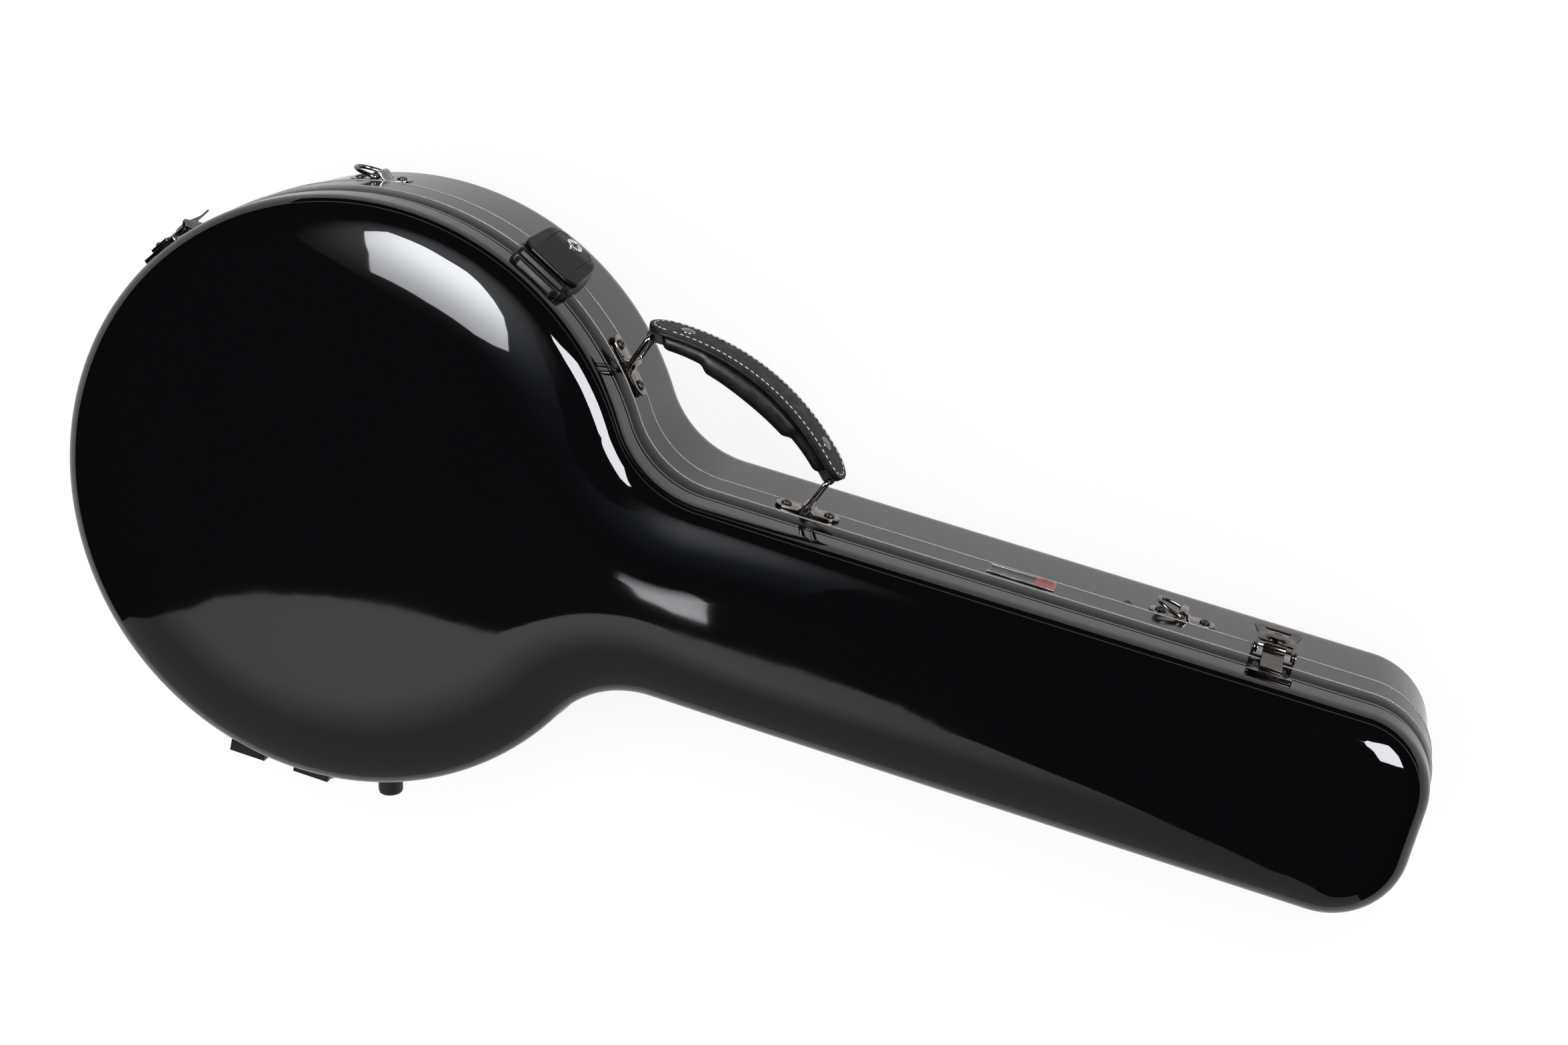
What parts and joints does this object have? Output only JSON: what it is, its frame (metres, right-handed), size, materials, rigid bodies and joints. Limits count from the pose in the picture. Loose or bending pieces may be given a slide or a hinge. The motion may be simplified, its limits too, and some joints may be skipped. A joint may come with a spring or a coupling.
{
  "type": "banjo case",
  "caption": "Hard shell banjo case with a round pot, straight neck, hinged lid, bowed carrying handle, draw latches, lock and padded inside.",
  "frame": {"origin": "centre of the round pot on the flat back, the face that the case lies on", "axes": "+X along the neck to the peghead end, +Y to the handle side, +Z out of the lid; units metres"},
  "size_m": [0.926, 0.4306, 0.169],
  "materials": {
    "gloss_shell": "high gloss black",
    "band": "smooth dark grey",
    "seal": "matt black",
    "plush": "short pile",
    "ribbon": "woven tape",
    "rubber": "matt black",
    "lock_plastic": "satin black",
    "nickel": "polished black nickel",
    "screw": "dark polished",
    "silver": "bright plated",
    "leather": "pebbled black",
    "badge": "blank enamelled plate"
  },
  "bodies": {
    "base": {"rear_shell": "gloss_shell", "rim_band": "band", "rim_seal": "seal", "base_floor_lining": "plush", "base_side_lining": "plush", "neck_cradle": "plush", "peghead_pad": "plush", "compartment_box": "plush", "hinge_1_base_leaf": "nickel", "hinge_1_pin": "nickel", "hinge_2_base_leaf": "nickel", "hinge_2_pin": "nickel", "handle_pot_plate": "nickel", "handle_neck_plate": "nickel", "strap_pot_plate": "nickel", "strap_neck_plate": "nickel", "pot_latch_base": "nickel", "neck_latch_base": "nickel", "lock_base": "lock_plastic", "front_foot": "rubber", "rear_foot": "rubber", "badge_plate": "badge", "handle_pot_screw_1": "screw", "handle_pot_screw_2": "screw", "handle_neck_screw_1": "screw", "handle_neck_screw_2": "screw", "strap_pot_screw_1": "screw", "strap_pot_screw_2": "screw", "strap_neck_screw_1": "screw", "strap_neck_screw_2": "screw", "shell_screw": "screw"},
    "lid": {"lid_shell": "gloss_shell", "locating_rim": "band", "lid_face_lining": "plush", "lid_side_lining": "plush", "hinge_1_lid_leaf": "nickel", "hinge_2_lid_leaf": "nickel", "pot_latch_catch": "nickel", "neck_latch_catch": "nickel", "lock_keeper": "lock_plastic"},
    "pot_latch_lever": {"pot_latch_lever": "nickel"},
    "pot_latch_link": {"pot_latch_link": "nickel"},
    "neck_latch_lever": {"neck_latch_lever": "nickel"},
    "neck_latch_link": {"neck_latch_link": "nickel"},
    "lock_cap": {"lock_cap": "lock_plastic"},
    "lock_key": {"lock_key_cylinder": "silver"},
    "handle_loop_pot": {"handle_loop_pot": "nickel"},
    "handle_loop_neck": {"handle_loop_neck": "nickel"},
    "handle_grip": {"handle_strap": "leather", "handle_roll": "leather", "handle_rivet_pot": "nickel", "handle_rivet_neck": "nickel"},
    "strap_ring_pot": {"strap_pot_ring": "nickel"},
    "strap_ring_neck": {"strap_neck_ring": "nickel"},
    "compartment_lid": {"compartment_lid": "plush", "compartment_tab": "ribbon"}
  },
  "joints": [
    {"name": "lid_hinge", "type": "hinge", "parent": "base", "child": "lid", "pos_m": [0, -0.2059, 0.1297], "axis": [1, 0, 0], "range_deg": [0, 105]},
    {"name": "pot_latch_swing", "type": "hinge", "parent": "base", "child": "pot_latch_lever", "pos_m": [-0.16509, 0.12898, 0.112], "axis": [0.6157, 0.788, 0], "range_deg": [0, 110]},
    {"name": "pot_latch_draw", "type": "hinge", "parent": "pot_latch_lever", "child": "pot_latch_link", "pos_m": [-0.16509, 0.12898, 0.104], "axis": [0.6157, 0.788, 0], "range_deg": [-115, 5]},
    {"name": "neck_latch_swing", "type": "hinge", "parent": "base", "child": "neck_latch_lever", "pos_m": [0.6065, 0.076, 0.112], "axis": [1, 0, 0], "range_deg": [0, 110]},
    {"name": "neck_latch_draw", "type": "hinge", "parent": "neck_latch_lever", "child": "neck_latch_link", "pos_m": [0.6065, 0.076, 0.104], "axis": [1, 0, 0], "range_deg": [-115, 5]},
    {"name": "lock_cap_swing", "type": "hinge", "parent": "base", "child": "lock_cap", "pos_m": [0.09982, 0.19014, 0.1254], "axis": [0.8854, -0.4648, 0], "range_deg": [0, 65]},
    {"name": "lock_key_turn", "type": "hinge", "parent": "lock_cap", "child": "lock_key", "pos_m": [0.09982, 0.19014, 0.0938], "axis": [0.4648, 0.8854, 0], "range_deg": [0, 90]},
    {"name": "handle_swing", "type": "hinge", "parent": "base", "child": "handle_loop_pot", "pos_m": [0.15911, 0.13163, 0.097], "axis": [0, 0, 1], "range_deg": [-50, 45]},
    {"name": "handle_grip_hinge", "type": "hinge", "parent": "handle_loop_pot", "child": "handle_grip", "pos_m": [0.1691, 0.15563, 0.097], "axis": [0, 0, 1], "range_deg": [-50, 55]},
    {"name": "handle_loop_neck_swing", "type": "hinge", "parent": "base", "child": "handle_loop_neck", "pos_m": [0.295, 0.073, 0.097], "axis": [0, 0, 1], "range_deg": [-55, 50]},
    {"name": "strap_ring_pot_swing", "type": "hinge", "parent": "base", "child": "strap_ring_pot", "pos_m": [-0.04356, 0.19981, 0.0745], "axis": [0, 0, -1], "range_deg": [-6, 154]},
    {"name": "strap_ring_neck_swing", "type": "hinge", "parent": "base", "child": "strap_ring_neck", "pos_m": [0.546, 0.071, 0.0745], "axis": [0, 0, -1], "range_deg": [-6, 154]},
    {"name": "compartment_lid_hinge", "type": "hinge", "parent": "base", "child": "compartment_lid", "pos_m": [0.35474, 0, 0.0696], "axis": [0, -1, 0], "range_deg": [0, 100]}
  ],
  "couplings": [
    {"joint": "pot_latch_draw", "follows": "pot_latch_swing", "ratio": -1},
    {"joint": "neck_latch_draw", "follows": "neck_latch_swing", "ratio": -1},
    {"joint": "handle_grip_hinge", "follows": "handle_swing", "ratio": -1},
    {"joint": "handle_loop_neck_swing", "follows": "handle_swing", "ratio": 1}
  ]
}
